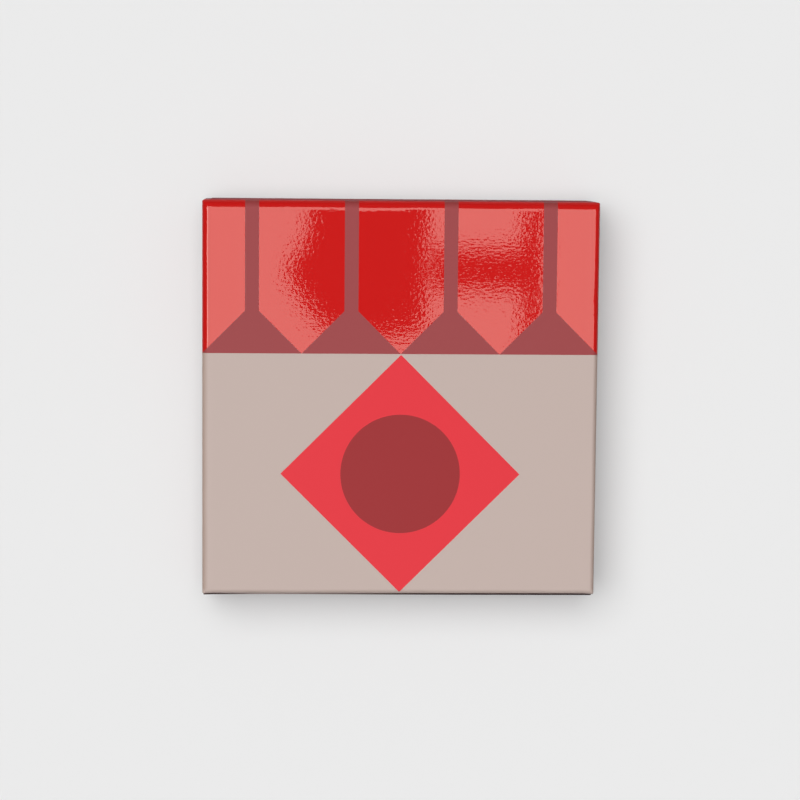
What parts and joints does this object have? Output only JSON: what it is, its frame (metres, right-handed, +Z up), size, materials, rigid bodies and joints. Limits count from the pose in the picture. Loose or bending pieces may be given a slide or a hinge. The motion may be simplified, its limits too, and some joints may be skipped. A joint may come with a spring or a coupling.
{
  "type": "folding ludo board box",
  "caption": "Square card game case that folds open flat into a ludo board, with wells for pawns, dice and rules and a magnetic closing flap.",
  "frame": {"origin": "on the ground, under the middle of the closed case", "axes": "+Z up, through the thickness; +Y to the back, where the two trays are hinged; +X to the right, along the hinge; the closing flap is on the -Y side"},
  "size_m": [0.2, 0.2026, 0.04],
  "materials": {
    "greyboard": "bare greyboard",
    "lid_print": "printed paper under a gloss film",
    "maroon_wrap": "printed paper under a satin film",
    "hinge_cloth": "matt book cloth",
    "lining_paper": "uncoated paper",
    "board_print": "printed paper under a satin film",
    "insert_foam": "matt die-cut foam",
    "catch_steel": "zinc-coated",
    "pawn_red": "moulded, gloss",
    "pawn_yellow": "moulded, gloss",
    "pawn_green": "moulded, gloss",
    "pawn_blue": "moulded, gloss",
    "die_white": "moulded, gloss, with dark pips"
  },
  "bodies": {
    "base": {"base_board": "greyboard", "base_wrap": "maroon_wrap", "base_bottom_sheet": "maroon_wrap", "base_lining": "lining_paper", "base_divider": "lining_paper", "base_ribs": "greyboard", "base_deck": "greyboard", "base_print": "board_print", "pawn_insert": "insert_foam", "catch_plate_left": "catch_steel", "catch_plate_right": "catch_steel", "spine_strip_base": "hinge_cloth", "die_1": "die_white", "die_2": "die_white", "pawn_red_1": "pawn_red", "pawn_red_2": "pawn_red", "pawn_red_3": "pawn_red", "pawn_red_4": "pawn_red", "pawn_yellow_1": "pawn_yellow", "pawn_yellow_2": "pawn_yellow", "pawn_yellow_3": "pawn_yellow", "pawn_yellow_4": "pawn_yellow", "pawn_green_1": "pawn_green", "pawn_green_2": "pawn_green", "pawn_green_3": "pawn_green", "pawn_green_4": "pawn_green", "pawn_blue_1": "pawn_blue", "pawn_blue_2": "pawn_blue", "pawn_blue_3": "pawn_blue", "pawn_blue_4": "pawn_blue"},
    "lid": {"lid_board": "greyboard", "lid_wrap": "lid_print", "lid_lining": "lining_paper", "lid_divider": "lining_paper", "lid_ribs": "greyboard", "lid_deck": "greyboard", "lid_print": "board_print", "rules_pocket": "maroon_wrap", "rules_sheet": "lining_paper", "spine_strip_lid": "hinge_cloth", "flap_hinge_leaf": "maroon_wrap"},
    "flap": {"flap_board": "greyboard", "flap_wrap": "maroon_wrap", "flap_lining": "lining_paper", "flap_magnet_left": "catch_steel", "flap_magnet_right": "catch_steel"}
  },
  "joints": [
    {"name": "lid_fold", "type": "hinge", "parent": "base", "child": "lid", "pos_m": [0, 0.10145, 0.02], "axis": [-1, 0, 0], "range_deg": [0, 180]},
    {"name": "flap_fold", "type": "hinge", "parent": "lid", "child": "flap", "pos_m": [0, -0.09925, 0.0295], "axis": [-1, 0, 0], "range_deg": [0, 93]}
  ]
}
